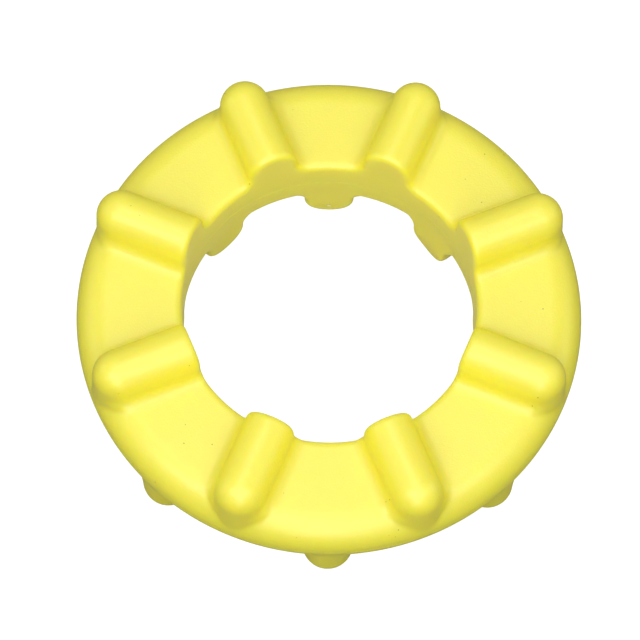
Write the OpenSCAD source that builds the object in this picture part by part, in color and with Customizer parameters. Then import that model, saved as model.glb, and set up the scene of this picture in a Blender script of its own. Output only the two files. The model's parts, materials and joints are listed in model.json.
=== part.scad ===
// Ribbed elastomer ring: two identical cored half mouldings, bonded where they meet.
// The origin is the centre of the ring on the joint plane, and +Z is the ring's axis.

/* [Ring] */
// Outside diameter of the ring
outer_d = 100; // [94:1:110]
// Diameter of the bore at the joint
bore_d = 58; // [52:1:60]
// Thickness of the ring between its two flat faces, and diameter of its full-round rim
body_t = 12.8; // [12.4:0.2:15]
// Radius of the rounded edge where the bore meets a face
bore_edge_r = 1; // [0.8:0.1:1.6]
// Straight stretch of bore wall next to the joint
land_h = 2; // [1:0.5:3]
// Mould draft on the bore wall and on the sides of the bars, in degrees
draft = 2; // [1:0.5:4]

/* [Bars] */
// Number of radial bars on each face
bar_count = 8; // [6:2:10]
// Width of a bar's half-round crest
bar_w = 10; // [9:0.2:11]
// Height of a bar above the face it stands on
bar_rise = 8.3; // [6:0.1:9]
// Distance from the domed end of a bar's crest to the outside diameter
bar_end_gap = 0.5; // [0.4:0.1:1.5]
// Radius of the fillet at the foot of a bar
foot_r = 2; // [1:0.1:2.4]
// Diameter of the round mark that the moulding gate leaves on one bar
gate_d = 0.8; // [0.6:0.1:1.2]

/* [Joint] */
// Wall thickness left by the coring
wall = 3; // [2.6:0.1:3.2]
// Diameter of a locating peg
peg_d = 3; // [2.4:0.1:3.4]
// Length of a locating peg beyond the joint face
peg_h = 2.6; // [2:0.1:3]
// Radial clearance between a peg and its socket
peg_clearance = 0.1; // [0.05:0.05:0.2]
// Chamfer on the outside edges of the joint face, which shows as a fine line at the seam
seam_chamfer = 0.15; // [0.1:0.05:0.25]
// Width of the adhesive groove in each joint land
groove_w = 1; // [0.8:0.1:1.2]
// Depth of the adhesive groove in each joint land
groove_depth = 0.5; // [0.3:0.1:0.6]

/* [Hidden] */
$fn = 128;

yellow = [0.98, 0.95, 0.36];
amber = [0.88, 0.82, 0.4];
past = 1;                      // how far a cutting tool runs past the surface that it cuts

outer_r = outer_d / 2;
bore_r = bore_d / 2;
half_t = body_t / 2;
rim_r = outer_r - half_t;      // radius of the circle on which the rim's round is centred
drafted_r = bore_r + (half_t - land_h) * tan(draft);
top_z = half_t + bar_rise;

pitch = 360 / bar_count;       // angle from one bar to the next
crest_r = bar_w / 2;
crest_z = top_z - crest_r;     // height of the centre of the half-round crest
foot_w = bar_w + 2 * crest_z * tan(draft);
bar_end_r = outer_r - bar_end_gap - crest_r;
bar_start_z = 1.2;             // height at which a bar's end wall comes out of the rim
gate_proud = 0.12;
gate_z = top_z - 3;
gate_bar = 6;                  // the bar that carries the gate mark

core_start_r = drafted_r + wall;
core_h = half_t - wall;
bar_core_r = crest_r - wall;
boss_d = peg_d + 3;
boss_r = (core_start_r + rim_r) / 2 + 1;
socket_d = peg_d + 2 * peg_clearance;
socket_h = peg_h + 0.6;
peg_tip = 0.4;                 // chamfer on the tip of a peg
inner_land_r = (bore_r + core_start_r) / 2;
outer_land_r = outer_r - wall / 2;

// Copies the children to the bars, or to every second one with step = 2
module at_bars(step = 1) {
    for (i = [0 : step : bar_count - 1]) rotate((i + 0.5) * pitch) children();
}

// Copies the children to every second gap between two bars
module at_gaps() {
    for (i = [0 : 2 : bar_count - 1]) rotate(i * pitch) children();
}

// A quarter of a disc, the section of a full-round rim above the joint plane
module quarter_disc(radius) {
    intersection() {
        circle(radius);
        square(radius);
    }
}

// Section of one half in a plane through the axis, without bars, running on into the bore
module body_section() {
    difference() {
        union() {
            translate([bore_r - past, 0]) square([rim_r - bore_r + past, half_t]);
            translate([rim_r, 0]) quarter_disc(half_t);
        }
        bore_edge_section();
        translate([outer_r, 0]) rotate(45) square(seam_chamfer * sqrt(2), center = true);
    }
}

// The open bore: chamfered at the joint, then straight, then drafted outwards
module bore() {
    rotate_extrude() polygon([
        [0, -past], [bore_r + seam_chamfer + past, -past], [bore_r, seam_chamfer], [bore_r, land_h],
        [drafted_r, half_t], [drafted_r, top_z + past], [0, top_z + past]
    ]);
}

// The corner that the rounded edge takes off where the bore meets the face
module bore_edge_section() {
    translate([drafted_r - past, half_t - bore_edge_r]) difference() {
        square(bore_edge_r + past);
        translate([bore_edge_r + past, 0]) circle(bore_edge_r);
    }
}

// Cross-section of a bar: a half-round crest on drafted sides, from the joint plane up
module bar_section() {
    translate([0, crest_z]) circle(crest_r);
    polygon([[-foot_w / 2, 0], [foot_w / 2, 0], [crest_r, crest_z], [-crest_r, crest_z]]);
}

// The concave fillets that join a bar's two sides to the face
module foot_section() {
    overlap = 0.1;
    side = foot_w / 2 - half_t * tan(draft);
    for (flip = [0, 1]) mirror([flip, 0]) translate([side - overlap, half_t - overlap]) difference() {
        square(foot_r + overlap);
        translate([foot_r + overlap, foot_r + overlap]) circle(foot_r);
    }
}

// The given cross-section carried along +X
module along_bar(from_r, to_r) {
    translate([from_r, 0, 0]) rotate([90, 0, 90]) linear_extrude(to_r - from_r) children();
}

// The given cross-section turned about the end of a bar, which makes its dome
module around_bar_end() {
    translate([bar_end_r, 0, 0]) rotate(-90) rotate_extrude(angle = 180) intersection() {
        children();
        square(outer_r);
    }
}

// One bar lying along +X, from inside the bore to its domed end
module bar() {
    along_bar(bore_r - past, bar_end_r) bar_section();
    around_bar_end() bar_section();
    along_bar(drafted_r + bore_edge_r, rim_r) foot_section();
}

// All the bars of one half, kept clear of the joint
module bars() {
    difference() {
        at_bars() bar();
        translate([0, 0, -past]) cylinder(r = outer_r + past, h = bar_start_z + past);
    }
}

// The mark of the moulding gate, on the inner end of one bar
module gate_mark() {
    rotate((gate_bar + 0.5) * pitch) translate([drafted_r - gate_proud, 0, gate_z])
        rotate([0, 90, 0]) cylinder(d = gate_d, h = past);
}

// Section of the cored space inside the body
module core_section() {
    translate([core_start_r, 0]) square([rim_r - core_start_r, core_h]);
    translate([rim_r, 0]) quarter_disc(core_h);
    translate([core_start_r, -past]) square([rim_r + core_h - core_start_r, past]);
}

// Cross-section of the cored space inside a bar
module bar_core_section() {
    translate([0, crest_z]) circle(bar_core_r);
    translate([-bar_core_r, 0]) square([2 * bar_core_r, crest_z]);
}

// The cored space of one half, with the bosses for the pegs and sockets left standing in it
module core() {
    difference() {
        union() {
            rotate_extrude() core_section();
            at_bars() along_bar(core_start_r, bar_end_r) bar_core_section();
            at_bars() around_bar_end() bar_core_section();
        }
        at_bars(2) boss();
        at_gaps() boss();
    }
}

module boss() {
    translate([boss_r, 0, -past]) cylinder(d = boss_d, h = top_z);
}

module socket() {
    translate([boss_r, 0, -past]) cylinder(d = socket_d, h = socket_h + past);
}

// A locating peg with a chamfered tip, rooted in its boss
module peg() {
    translate([boss_r, 0, 0]) {
        translate([0, 0, peg_tip - peg_h]) cylinder(d = peg_d, h = peg_h);
        translate([0, 0, -peg_h]) cylinder(d1 = peg_d - 2 * peg_tip, d2 = peg_d, h = peg_tip);
    }
}

// The ring of adhesive that fills the grooves of both halves on one land
module bond_ring(land_r) {
    rotate_extrude() translate([land_r - groove_w / 2, -groove_depth])
        square([groove_w, 2 * groove_depth]);
}

// One half with its bars up and its joint face on the plane z = 0. Pegs stand at every second
// gap and sockets at every second bar, so two halves mate when one of them is turned over about
// a line a quarter of a pitch round from a gap.
module half_moulding() {
    difference() {
        union() {
            rotate_extrude() body_section();
            bars();
        }
        bore();
        core();
        at_bars(2) socket();
        bond_ring(inner_land_r);
        bond_ring(outer_land_r);
    }
    at_gaps() peg();
    gate_mark();
}

module upper_half() {
    color(yellow) half_moulding();
}

module lower_half() {
    color(yellow) rotate(pitch / 4) rotate([180, 0, 0]) rotate(-pitch / 4) half_moulding();
}

module outer_bond_ring() {
    color(amber) bond_ring(outer_land_r);
}

module inner_bond_ring() {
    color(amber) bond_ring(inner_land_r);
}

upper_half();
lower_half();
outer_bond_ring();
inner_bond_ring();
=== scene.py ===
import json
import math

import bpy
import numpy as np
from mathutils import Matrix, Vector


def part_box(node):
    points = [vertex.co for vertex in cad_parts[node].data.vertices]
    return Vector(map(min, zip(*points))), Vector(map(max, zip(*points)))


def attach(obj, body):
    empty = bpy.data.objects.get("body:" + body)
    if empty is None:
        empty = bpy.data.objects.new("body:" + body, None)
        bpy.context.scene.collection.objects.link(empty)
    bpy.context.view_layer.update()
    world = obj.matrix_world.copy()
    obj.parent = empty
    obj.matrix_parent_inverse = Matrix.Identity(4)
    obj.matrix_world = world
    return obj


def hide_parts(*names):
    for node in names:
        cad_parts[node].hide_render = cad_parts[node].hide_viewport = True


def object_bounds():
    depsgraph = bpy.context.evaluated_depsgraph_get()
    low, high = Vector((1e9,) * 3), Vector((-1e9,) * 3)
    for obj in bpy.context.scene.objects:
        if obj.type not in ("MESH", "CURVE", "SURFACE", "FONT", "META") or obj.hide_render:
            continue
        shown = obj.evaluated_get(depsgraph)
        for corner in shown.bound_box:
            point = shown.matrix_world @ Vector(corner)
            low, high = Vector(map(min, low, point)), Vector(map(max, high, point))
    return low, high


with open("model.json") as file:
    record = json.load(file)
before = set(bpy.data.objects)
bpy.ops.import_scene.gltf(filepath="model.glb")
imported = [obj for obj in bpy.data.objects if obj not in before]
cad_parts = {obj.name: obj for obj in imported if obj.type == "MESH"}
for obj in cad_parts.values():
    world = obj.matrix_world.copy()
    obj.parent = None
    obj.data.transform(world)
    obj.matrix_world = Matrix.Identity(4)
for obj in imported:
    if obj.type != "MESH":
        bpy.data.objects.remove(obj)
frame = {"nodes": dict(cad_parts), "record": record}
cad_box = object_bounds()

# The ring is two identical cored halves. Each is described here as a distance function in
# millimetres: negative inside the rubber, zero on its surface. A mesh is then drawn on that surface.

MM = 0.001

# ---- sizes of the moulding, in millimetres, as the CAD has them unless a comment says otherwise
half_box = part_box("upper_half")
OUTER_R = round(half_box[1].x / MM, 1)
TOP_Z = round(half_box[1].z / MM, 1)
BORE_R = frame["record"]["mounts"][0]["dims"]["r_mm"]
BODY_T = 12.8
BORE_EDGE_R = 1.3  # softer than the CAD's 1 mm, as the photo shows it
LAND_H = 2.0
DRAFT = math.radians(2)
BAR_COUNT = 8
BAR_W = 10.0
BAR_END_GAP = 0.5
FOOT_R = 2.4  # softer than the CAD's 2 mm, as the photo shows it
FOOT_END_R = 0.3  # the fillet's radius where a bar's end wall runs down the rim
FOOT_FADE = 2.2  # the drop below the face over which the fillet shrinks to that
WALL = 3.0
PEG_D = 3.0
PEG_H = 2.6
PEG_CLEARANCE = 0.1
SEAM_CHAMFER = 0.07  # finer than the CAD's 0.15 mm, as the photo shows it
GROOVE_W = 1.0
GROOVE_DEPTH = 0.5
CORE_ROUND = 0.6  # radius left in the corners of the cored space

HALF_T = BODY_T / 2
RIM_R = OUTER_R - HALF_T
DRAFTED_R = BORE_R + (HALF_T - LAND_H) * math.tan(DRAFT)
PITCH = 2 * math.pi / BAR_COUNT
CREST_R = BAR_W / 2
CREST_Z = TOP_Z - CREST_R
BAR_END_R = OUTER_R - BAR_END_GAP - CREST_R
CORE_START_R = DRAFTED_R + WALL
BOSS_D = PEG_D + 3
BOSS_R = (CORE_START_R + RIM_R) / 2 + 1
SOCKET_D = PEG_D + 2 * PEG_CLEARANCE
SOCKET_H = PEG_H + 0.6
INNER_LAND_R = (BORE_R + CORE_START_R) / 2
OUTER_LAND_R = OUTER_R - WALL / 2

GATE_ANGLE = 6.5 * PITCH  # the bar whose inner end carries the gate mark
GATE_Z = TOP_Z - 3
GATE_R = 0.4
GATE_PROUD = 0.12
GATE_ROOT = 0.3  # how deep the mark is rooted in the wall
GATE_BEVEL = 0.04
GATE_SIDES = 24

FLASH_ANGLE = 7.5 * PITCH  # the bar whose inner end the mould left too long, on the lower half
FLASH = 1.25  # how far that end stands into the bore at its thickest
FLASH_LEAN = 0.36  # the share of that at its thin side

GRID_STEP = 0.62  # the largest cell of the grid on which the surface is found
FINE_STEP = 0.1  # the smallest, next to the seam
GRID_MARGIN = 0.05  # levels keep this far from the flat faces and walls, and start on both sides of them
GRID_ANGLES = 480
SHARP_ANGLE = math.radians(38)

# ---- camera and stage
CAMERA_ELEVATION = math.radians(67.12)
CAMERA_AZIMUTH = math.radians(-0.8)
CAMERA_ROLL = math.radians(1.15)
CAMERA_DISTANCE = 0.871
CAMERA_LENS = 247.4
CAMERA_AIM = Vector((-0.00176, -0.00105, 0.0))
TENT_LIGHT = 0.5  # the light that comes evenly from all round
FLOOR_SHADE = 0.19  # the share of the light falling on it that the floor sends back
FLOOR_BORE_GLOW = 0.24  # the floor's painted glow, a hidden light the camera doesn't see: this strong inside the bore, fading out towards the rim
BACKDROP_WHITE = 1.0  # what the camera sees of the floor and of the tent beyond it
SOFTBOXES = (  # azimuth and elevation in degrees, side in metres, power in watts
    ("overhead", 200, 82, 0.6, 1.9),
    ("front_high", 0, 58, 0.6, 1.6),
    ("front", 0, 30, 0.4, 1.35),
    ("key_left", 310, 52, 0.4, 1.7),
    ("key_right", 50, 52, 0.4, 1.2),
    ("left", 255, 24, 0.4, 0.35),
    ("right", 100, 24, 0.4, 0.4),
)


# ---- distance functions


def round_max(a, b, radius):
    """Where both solids are, with the edge between their surfaces rounded off."""
    corner = np.hypot(np.maximum(a + radius, 0), np.maximum(b + radius, 0))
    return np.minimum(np.maximum(a, b), -radius) + corner


def round_min(a, b, radius):
    """Where either solid is, with a concave fillet between their surfaces."""
    return -round_max(-a, -b, radius)


def folded(theta, start, pitch):
    """The angle from the nearest of the directions start, start + pitch and so on."""
    return (theta - start + pitch / 2) % pitch - pitch / 2


def bore_wall(r, z):
    """The bore's wall: straight next to the joint, drafted outwards, and straight past the face."""
    wall_r = BORE_R + np.clip(z - LAND_H, 0, HALF_T - LAND_H) * math.tan(DRAFT)
    return (wall_r - r) * math.cos(DRAFT)


def flat_ring(r, z, half_thickness):
    """A flat disc whose rim is full-round."""
    return np.hypot(np.maximum(r - RIM_R, 0), z) - half_thickness


def bar(along, across, z, crest_r, draft):
    """A bar with a half-round crest and a domed end, lying along the first axis."""
    from_spine = np.hypot(across, np.maximum(along - BAR_END_R, 0))
    crest = np.hypot(from_spine, z - CREST_Z) - crest_r
    side_r = crest_r + (CREST_Z - z) * math.tan(draft)
    side = (from_spine - side_r) * math.cos(draft)
    return np.where(z > CREST_Z, crest, side)


def post(r, theta, start, diameter):
    """Round posts a quarter turn apart, standing on the circle of the bosses."""
    angle = folded(theta, start, 2 * PITCH)
    return np.hypot(r * np.cos(angle) - BOSS_R, r * np.sin(angle)) - diameter / 2


def skin(r, theta, z):
    """The outside of one half, bars and all, before the joint plane cuts it."""
    angle = folded(theta, PITCH / 2, PITCH)
    bars = bar(r * np.cos(angle), r * np.sin(angle), z, CREST_R, DRAFT)
    foot_r = FOOT_R + (FOOT_END_R - FOOT_R) * np.clip((HALF_T - z) / FOOT_FADE, 0, 1)
    solid = round_min(flat_ring(r, z, HALF_T), bars, foot_r)
    return round_max(solid, bore_wall(r, z), BORE_EDGE_R)


def core(r, theta, z):
    """The cored space of one half, with the bosses left standing in it."""
    angle = folded(theta, PITCH / 2, PITCH)
    slots = bar(r * np.cos(angle), r * np.sin(angle), z, CREST_R - WALL, 0.0)
    space = round_min(flat_ring(r, z, HALF_T - WALL), slots, CORE_ROUND)
    space = round_max(space, CORE_START_R - r, CORE_ROUND)
    for start in (0.0, PITCH / 2):
        space = round_max(space, -post(r, theta, start, BOSS_D), CORE_ROUND)
    return space


def groove(r, z, land_r):
    """Half of the groove that holds a ring of adhesive."""
    return np.maximum(np.abs(r - land_r) - GROOVE_W / 2, z - GROOVE_DEPTH)


def half(r, theta, z):
    """One half moulding, bars up, with its joint face on the plane z = 0."""
    seam_out = (r - z - OUTER_R + SEAM_CHAMFER) / math.sqrt(2)
    seam_in = (BORE_R + SEAM_CHAMFER - r - z) / math.sqrt(2)
    solid = np.maximum.reduce([skin(r, theta, z), -z, seam_out, seam_in])
    solid = np.maximum(solid, -core(r, theta, z))
    sockets = np.maximum(post(r, theta, PITCH / 2, SOCKET_D), z - SOCKET_H)
    for cut in (sockets, groove(r, z, INNER_LAND_R), groove(r, z, OUTER_LAND_R)):
        solid = np.maximum(solid, -cut)
    pegs = np.maximum.reduce([post(r, theta, 0.0, PEG_D), z - 1, -PEG_H - z])
    return np.minimum(solid, pegs)


# ---- the mesh on a distance function's surface


def graded(start, stop, growth=1.3):
    """Levels from start to stop: the first step is fine, and each next one is larger, up to the grid's."""
    direction = math.copysign(1, stop - start)
    levels = [start]
    step = FINE_STEP
    while (stop - levels[-1]) * direction > 0:
        levels.append(levels[-1] + direction * step)
        step = min(step * growth, GRID_STEP)
    return levels


def grid_levels():
    """Radii, angles and heights of the grid, close together at the seam's fine edges."""
    middle = (BORE_R + OUTER_R) / 2
    radii = []
    for wall_r, outwards in ((BORE_R, -1), (OUTER_R, 1)):
        radii += graded(wall_r - outwards * GRID_MARGIN, middle)
        radii += graded(wall_r + outwards * GRID_MARGIN, wall_r + outwards * GRID_STEP)
    heights = graded(GRID_MARGIN, TOP_Z + GRID_STEP) + graded(-GRID_MARGIN, -PEG_H - GRID_STEP)
    angles = np.arange(GRID_ANGLES) * 2 * math.pi / GRID_ANGLES
    return spread(radii), angles, spread(heights)


def spread(levels):
    """Sorted levels with any that nearly coincide taken out."""
    kept = []
    for level in sorted(levels):
        if not kept or level - kept[-1] > GRID_MARGIN * 1.2:
            kept.append(level)
    return np.array(kept)


def cartesian(r, theta, z):
    return np.stack([r * np.cos(theta), r * np.sin(theta), z], axis=-1)


def distance_at(solid, points):
    x, y, z = points[:, 0], points[:, 1], points[:, 2]
    return solid(np.hypot(x, y), np.arctan2(y, x), z)


def on_surface(solid, points, rounds=4, nudge=1e-3):
    """Moves points along the distance function's slope until they lie on its surface."""
    for _ in range(rounds):
        slope = np.empty_like(points)
        for axis in range(3):
            offset = np.zeros(3)
            offset[axis] = nudge
            ahead = distance_at(solid, points + offset)
            behind = distance_at(solid, points - offset)
            slope[:, axis] = (ahead - behind) / (2 * nudge)
        length2 = np.maximum((slope**2).sum(axis=1), 0.25)
        step = -distance_at(solid, points)[:, None] * slope / length2[:, None]
        points = points + np.clip(step, -0.3, 0.3)
    return points


def surface_mesh(solid):
    """Points and quads of the surface, from a cylindrical grid whose angles wrap round."""
    radii, angles, heights = grid_levels()
    r, theta, z = np.meshgrid(radii, angles, heights, indexing="ij")
    values = solid(r, theta, z)
    corners = cartesian(r, theta, z)
    inside = values < 0
    shape = np.array(values.shape)
    total = np.zeros((inside.size, 3))
    count = np.zeros(inside.size)
    quads = []
    for axis in range(3):
        near = tuple(slice(0, shape[a] - 1) if a == axis and a != 1 else slice(None) for a in range(3))
        ahead = np.roll(inside, -1, axis=axis)[near]
        i, j, k = np.nonzero(inside[near] != ahead)
        start = np.stack([i, j, k])
        end = start.copy()
        end[axis] = (end[axis] + 1) % shape[axis]
        a, b = values[tuple(start)], values[tuple(end)]
        share = (a / (a - b))[:, None]
        crossing = corners[tuple(start)] * (1 - share) + corners[tuple(end)] * share
        ring = []
        for back_b, back_c in ((0, 0), (1, 0), (1, 1), (0, 1)):
            cell = start.copy()
            cell[(axis + 1) % 3] -= back_b
            cell[(axis + 2) % 3] -= back_c
            cell[1] %= shape[1]
            index = np.ravel_multi_index(tuple(cell), tuple(shape))
            np.add.at(total, index, crossing)
            np.add.at(count, index, 1)
            ring.append(index)
        ring = np.stack(ring, axis=1)
        leaving = inside[tuple(start)]
        quads.append(np.where(leaving[:, None], ring, ring[:, ::-1]))
    used = np.nonzero(count)[0]
    renumber = np.zeros(inside.size, int)
    renumber[used] = np.arange(len(used))
    points = total[used] / count[used, None]
    return on_surface(solid, points), renumber[np.concatenate(quads)].tolist()


def mesh_object(name, points, faces, material):
    mesh = bpy.data.meshes.new(name)
    mesh.from_pydata(points * MM, [], faces)
    mesh.polygons.foreach_set("use_smooth", np.ones(len(mesh.polygons), bool))
    mesh.set_sharp_from_angle(angle=SHARP_ANGLE)
    mesh.materials.append(material)
    mesh.validate()
    piece = bpy.data.objects.new(name, mesh)
    bpy.context.scene.collection.objects.link(piece)
    return piece


# ---- materials


def new_material(name):
    material = bpy.data.materials.new(name)
    material.use_nodes = True
    nodes = material.node_tree.nodes
    return material, nodes, material.node_tree.links, nodes["Principled BSDF"]


def noise(nodes, links, scale, detail=2.0):
    """Noise over the object's own coordinates. Scale is in cycles per metre."""
    coordinates = nodes.new("ShaderNodeTexCoord")
    texture = nodes.new("ShaderNodeTexNoise")
    texture.inputs["Scale"].default_value = scale
    texture.inputs["Detail"].default_value = detail
    links.new(coordinates.outputs["Object"], texture.inputs["Vector"])
    return texture.outputs["Fac"]


def mixed(nodes, links, share, colour, other):
    """The colour where share is 0, and the other colour where it is 1."""
    mix = nodes.new("ShaderNodeMix")
    mix.data_type = "RGBA"
    mix.inputs["B"].default_value = other
    links.new(share, mix.inputs["Factor"])
    links.new(colour, mix.inputs["A"])
    return mix.outputs["Result"]


def specks(nodes, links, spacing, radius):
    """1 inside sparse round specks and 0 elsewhere. Spacing and radius are in metres."""
    coordinates = nodes.new("ShaderNodeTexCoord")
    cells = nodes.new("ShaderNodeTexVoronoi")
    cells.inputs["Scale"].default_value = 1 / spacing
    links.new(coordinates.outputs["Object"], cells.inputs["Vector"])
    inside = nodes.new("ShaderNodeMapRange")
    inside.inputs["From Min"].default_value = radius / spacing
    inside.inputs["From Max"].default_value = 0.6 * radius / spacing
    links.new(cells.outputs["Distance"], inside.inputs["Value"])
    return inside.outputs["Result"]


def scatter_length(nodes, links, length):
    """How far light travels in the rubber, in metres. Next to the seam it is kept short, because the
    joint faces would swallow light that in a bonded ring passes from one half to the other."""
    coordinates = nodes.new("ShaderNodeTexCoord")
    split = nodes.new("ShaderNodeSeparateXYZ")
    links.new(coordinates.outputs["Object"], split.inputs["Vector"])
    from_seam = nodes.new("ShaderNodeMath")
    from_seam.operation = "ABSOLUTE"
    links.new(split.outputs["Z"], from_seam.inputs[0])
    reach = nodes.new("ShaderNodeMapRange")
    reach.interpolation_type = "SMOOTHSTEP"
    reach.inputs["From Max"].default_value = length
    reach.inputs["To Min"].default_value = 0.15 * length
    reach.inputs["To Max"].default_value = length
    links.new(from_seam.outputs["Value"], reach.inputs["Value"])
    return reach.outputs["Result"]


def elastomer():
    """Matte, slightly translucent yellow rubber with a fine moulded grain and specks of dust."""
    material, nodes, links, shader = new_material("yellow_elastomer")
    tint = nodes.new("ShaderNodeValToRGB")
    tint.color_ramp.elements[0].position = 0.3
    tint.color_ramp.elements[0].color = (0.955, 0.825, 0.052, 1)
    tint.color_ramp.elements[1].position = 0.7
    tint.color_ramp.elements[1].color = (0.965, 0.835, 0.055, 1)
    links.new(noise(nodes, links, 90), tint.inputs["Fac"])
    scar = nodes.new("ShaderNodeAttribute")
    scar.attribute_name = "gate_scar"
    scarred = mixed(nodes, links, scar.outputs["Fac"], tint.outputs["Color"], (0.9, 0.82, 0.3, 1))
    dust = specks(nodes, links, 0.004, 0.00015)
    dusty = mixed(nodes, links, dust, scarred, (0.33, 0.22, 0.02, 1))
    links.new(dusty, shader.inputs["Base Color"])
    shader.inputs["Roughness"].default_value = 0.4
    shader.inputs["IOR"].default_value = 1.6
    shader.inputs["Specular IOR Level"].default_value = 1.0
    unscarred = nodes.new("ShaderNodeMath")
    unscarred.operation = "SUBTRACT"
    unscarred.inputs[0].default_value = 1.0
    links.new(scar.outputs["Fac"], unscarred.inputs[1])
    links.new(unscarred.outputs["Value"], shader.inputs["Subsurface Weight"])
    shader.inputs["Subsurface Radius"].default_value = (1.0, 0.8, 0.1)
    links.new(scatter_length(nodes, links, 0.0025), shader.inputs["Subsurface Scale"])
    grain = nodes.new("ShaderNodeBump")
    grain.inputs["Strength"].default_value = 0.8
    grain.inputs["Distance"].default_value = 0.00005
    links.new(noise(nodes, links, 2500, 3), grain.inputs["Height"])
    links.new(grain.outputs["Normal"], shader.inputs["Normal"])
    return material


def adhesive():
    """Cured amber adhesive, a little glossier than the rubber."""
    material, nodes, links, shader = new_material("adhesive")
    tint = nodes.new("ShaderNodeValToRGB")
    tint.color_ramp.elements[0].color = (0.62, 0.5, 0.1, 1)
    tint.color_ramp.elements[1].color = (0.78, 0.66, 0.18, 1)
    links.new(noise(nodes, links, 400), tint.inputs["Fac"])
    links.new(tint.outputs["Color"], shader.inputs["Base Color"])
    shader.inputs["Roughness"].default_value = 0.3
    return material


def white_to_camera(nodes, links):
    """A strength that is white where the camera looks. Its To Min input is what lights the ring."""
    path = nodes.new("ShaderNodeLightPath")
    glow = nodes.new("ShaderNodeMapRange")
    glow.inputs["To Max"].default_value = BACKDROP_WHITE
    links.new(path.outputs["Is Camera Ray"], glow.inputs["Value"])
    return glow


def floor_material():
    """A floor that looks evenly white and sends little light back. It glows as a painted light, strongest
    inside the bore, that lights the bore's walls from below.
    """
    material, nodes, links, shader = new_material("floor")
    shader.inputs["Base Color"].default_value = (FLOOR_SHADE, FLOOR_SHADE, FLOOR_SHADE, 1)
    shader.inputs["Roughness"].default_value = 0.9
    shader.inputs["Specular IOR Level"].default_value = 0.1
    shader.inputs["Emission Color"].default_value = (1, 1, 1, 1)
    coordinates = nodes.new("ShaderNodeTexCoord")
    distance = nodes.new("ShaderNodeVectorMath")
    distance.operation = "LENGTH"
    links.new(coordinates.outputs["Object"], distance.inputs[0])
    # painted glow: the floor emits light towards the ring, strongest inside the bore and none past the
    # rim, while the camera sees plain white
    bore_glow = nodes.new("ShaderNodeMapRange")
    bore_glow.inputs["From Min"].default_value = OUTER_R * MM
    bore_glow.inputs["From Max"].default_value = BORE_R * MM
    bore_glow.inputs["To Max"].default_value = FLOOR_BORE_GLOW
    links.new(distance.outputs["Value"], bore_glow.inputs["Value"])
    glow = white_to_camera(nodes, links)
    links.new(bore_glow.outputs["Result"], glow.inputs["To Min"])
    links.new(glow.outputs["Result"], shader.inputs["Emission Strength"])
    return material


# ---- the pieces


def smooth_step(values, start, stop):
    """0 at start and beyond, 1 at stop and beyond, and an S-shaped rise between them."""
    share = np.clip((values - start) / (stop - start), 0, 1)
    return share * share * (3 - 2 * share)


def with_flash(points):
    """Pushes one bar's inner end into the bore, more at one side, as an over-full mould leaves it."""
    r = np.hypot(points[:, 0], points[:, 1])
    angle = folded(np.arctan2(points[:, 1], points[:, 0]), FLASH_ANGLE, 2 * math.pi)
    across = r * np.sin(angle) / CREST_R  # -1 at one side of the bar and 1 at the other
    lean = FLASH_LEAN + (1 - FLASH_LEAN) * smooth_step(across, -0.6, 1)
    on_bar = smooth_step(across, -1.2, -0.9) * smooth_step(across, 1.36, 1.08) * (np.cos(angle) > 0)
    past_face = smooth_step(points[:, 2], LAND_H, CREST_Z + 1.5)
    near_bore = smooth_step(r, BORE_R + 2, BORE_R + 0.4)
    push = FLASH * lean * on_bar * past_face * near_bore
    pushed = points.copy()
    pushed[:, :2] *= (1 - push / r)[:, None]
    return pushed


def gate_mark():
    """The round mark of the moulding gate, standing a little proud of a bar's inner end."""
    angles = np.arange(GATE_SIDES) * 2 * math.pi / GATE_SIDES
    rings = [
        (GATE_R, GATE_ROOT),
        (GATE_R, GATE_BEVEL - GATE_PROUD),
        (GATE_R - GATE_BEVEL, -GATE_PROUD),
    ]
    points = [
        (DRAFTED_R + depth, radius * math.cos(a), GATE_Z + radius * math.sin(a))
        for radius, depth in rings
        for a in angles
    ]
    quads = []
    for ring in range(len(rings) - 1):
        low, high = ring * GATE_SIDES, (ring + 1) * GATE_SIDES
        for side in range(GATE_SIDES):
            after = (side + 1) % GATE_SIDES
            quads.append((low + side, high + side, high + after, low + after))
    caps = [tuple(range(GATE_SIDES)), tuple(reversed(range(2 * GATE_SIDES, 3 * GATE_SIDES)))]
    turn = Matrix.Rotation(GATE_ANGLE, 3, "Z")
    return np.array(points) @ np.array(turn).T, quads + caps


def joined(shell, extra):
    """Two shells as one: their points, and the faces of both."""
    points = np.concatenate([shell[0], extra[0]])
    shift = len(shell[0])
    return points, shell[1] + [tuple(corner + shift for corner in face) for face in extra[1]]


def turned_over(points):
    """The same half turned over about the line midway between a gap and a bar."""
    flip = Matrix.Rotation(math.pi, 3, Vector((math.cos(PITCH / 4), math.sin(PITCH / 4), 0)))
    return points @ np.array(flip).T


def make_halves(material):
    mark = gate_mark()
    points, faces = joined(surface_mesh(half), mark)
    on_mark = np.arange(len(points)) >= len(points) - len(mark[0])
    shells = {"upper_half": points, "lower_half": turned_over(with_flash(points))}
    for name, shell in shells.items():
        piece = mesh_object(name + "_moulding", shell, faces, material)
        scar = piece.data.attributes.new("gate_scar", "FLOAT", "POINT")
        scar.data.foreach_set("value", on_mark.astype(float))
        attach(piece, "root")
        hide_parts(name)


def dress_bond_rings(material):
    for name in ("outer_bond_ring", "inner_bond_ring"):
        ring = frame["nodes"][name]
        ring.data.materials.clear()
        ring.data.materials.append(material)


# ---- stage, light and camera


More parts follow.
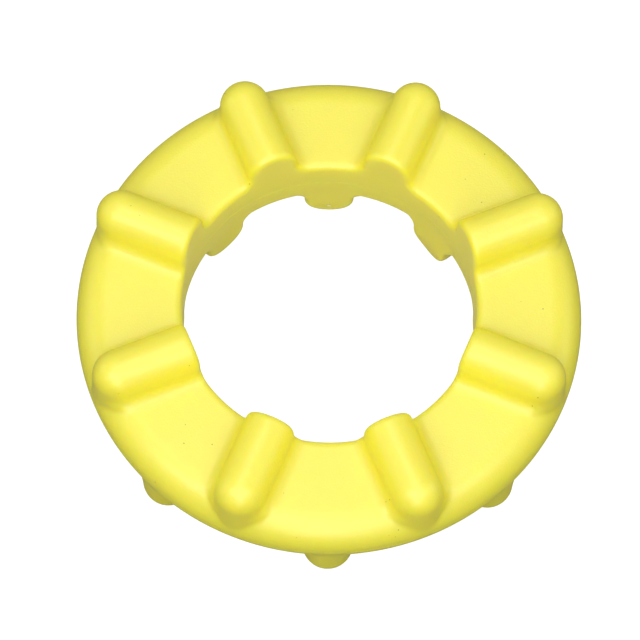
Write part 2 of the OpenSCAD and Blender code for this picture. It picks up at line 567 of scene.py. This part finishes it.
def make_floor():
    side = 3.0
    corners = [(-side, -side), (side, -side), (side, side), (-side, side)]
    mesh = bpy.data.meshes.new("floor")
    mesh.from_pydata([(x, y, cad_box[0].z) for x, y in corners], [], [(0, 1, 2, 3)])
    mesh.materials.append(floor_material())
    floor = bpy.data.objects.new("floor", mesh)
    bpy.context.scene.collection.objects.link(floor)


def add_light(name, azimuth, elevation, side, power):
    """A square softbox a metre from the ring, aimed at it. Azimuth 0 is the camera's side."""
    light = bpy.data.lights.new(name, "AREA")
    light.size = side
    light.energy = power
    lamp = bpy.data.objects.new(name, light)
    level = math.cos(elevation)
    place = Vector((math.sin(azimuth) * level, -math.cos(azimuth) * level, math.sin(elevation)))
    lamp.location = place
    lamp.rotation_euler = (-place).to_track_quat("-Z", "Y").to_euler()
    bpy.context.scene.collection.objects.link(lamp)


def light_scene():
    for name, azimuth, elevation, side, power in SOFTBOXES:
        add_light(name, math.radians(azimuth), math.radians(elevation), side, power)
    world = bpy.data.worlds.new("studio")
    world.use_nodes = True
    nodes, links = world.node_tree.nodes, world.node_tree.links
    nodes["Background"].inputs["Color"].default_value = (1, 1, 1, 1)
    glow = white_to_camera(nodes, links)
    glow.inputs["To Min"].default_value = TENT_LIGHT
    links.new(glow.outputs["Result"], nodes["Background"].inputs["Strength"])
    scene = bpy.context.scene
    scene.world = world
    scene.view_settings.view_transform = "Standard"


def make_camera():
    camera = bpy.data.cameras.new("camera")
    camera.lens = CAMERA_LENS
    camera.clip_start = 0.05
    holder = bpy.data.objects.new("camera", camera)
    turn = Matrix.Rotation(CAMERA_AZIMUTH, 4, "Z")
    tilt = Matrix.Rotation(math.pi / 2 - CAMERA_ELEVATION, 4, "X")
    back = Matrix.Translation((0, 0, CAMERA_DISTANCE))
    roll = Matrix.Rotation(CAMERA_ROLL, 4, "Z")
    holder.matrix_world = turn @ Matrix.Translation(CAMERA_AIM) @ tilt @ back @ roll
    bpy.context.scene.collection.objects.link(holder)
    bpy.context.scene.camera = holder


make_camera()
light_scene()
make_floor()
make_halves(elastomer())
dress_bond_rings(adhesive())
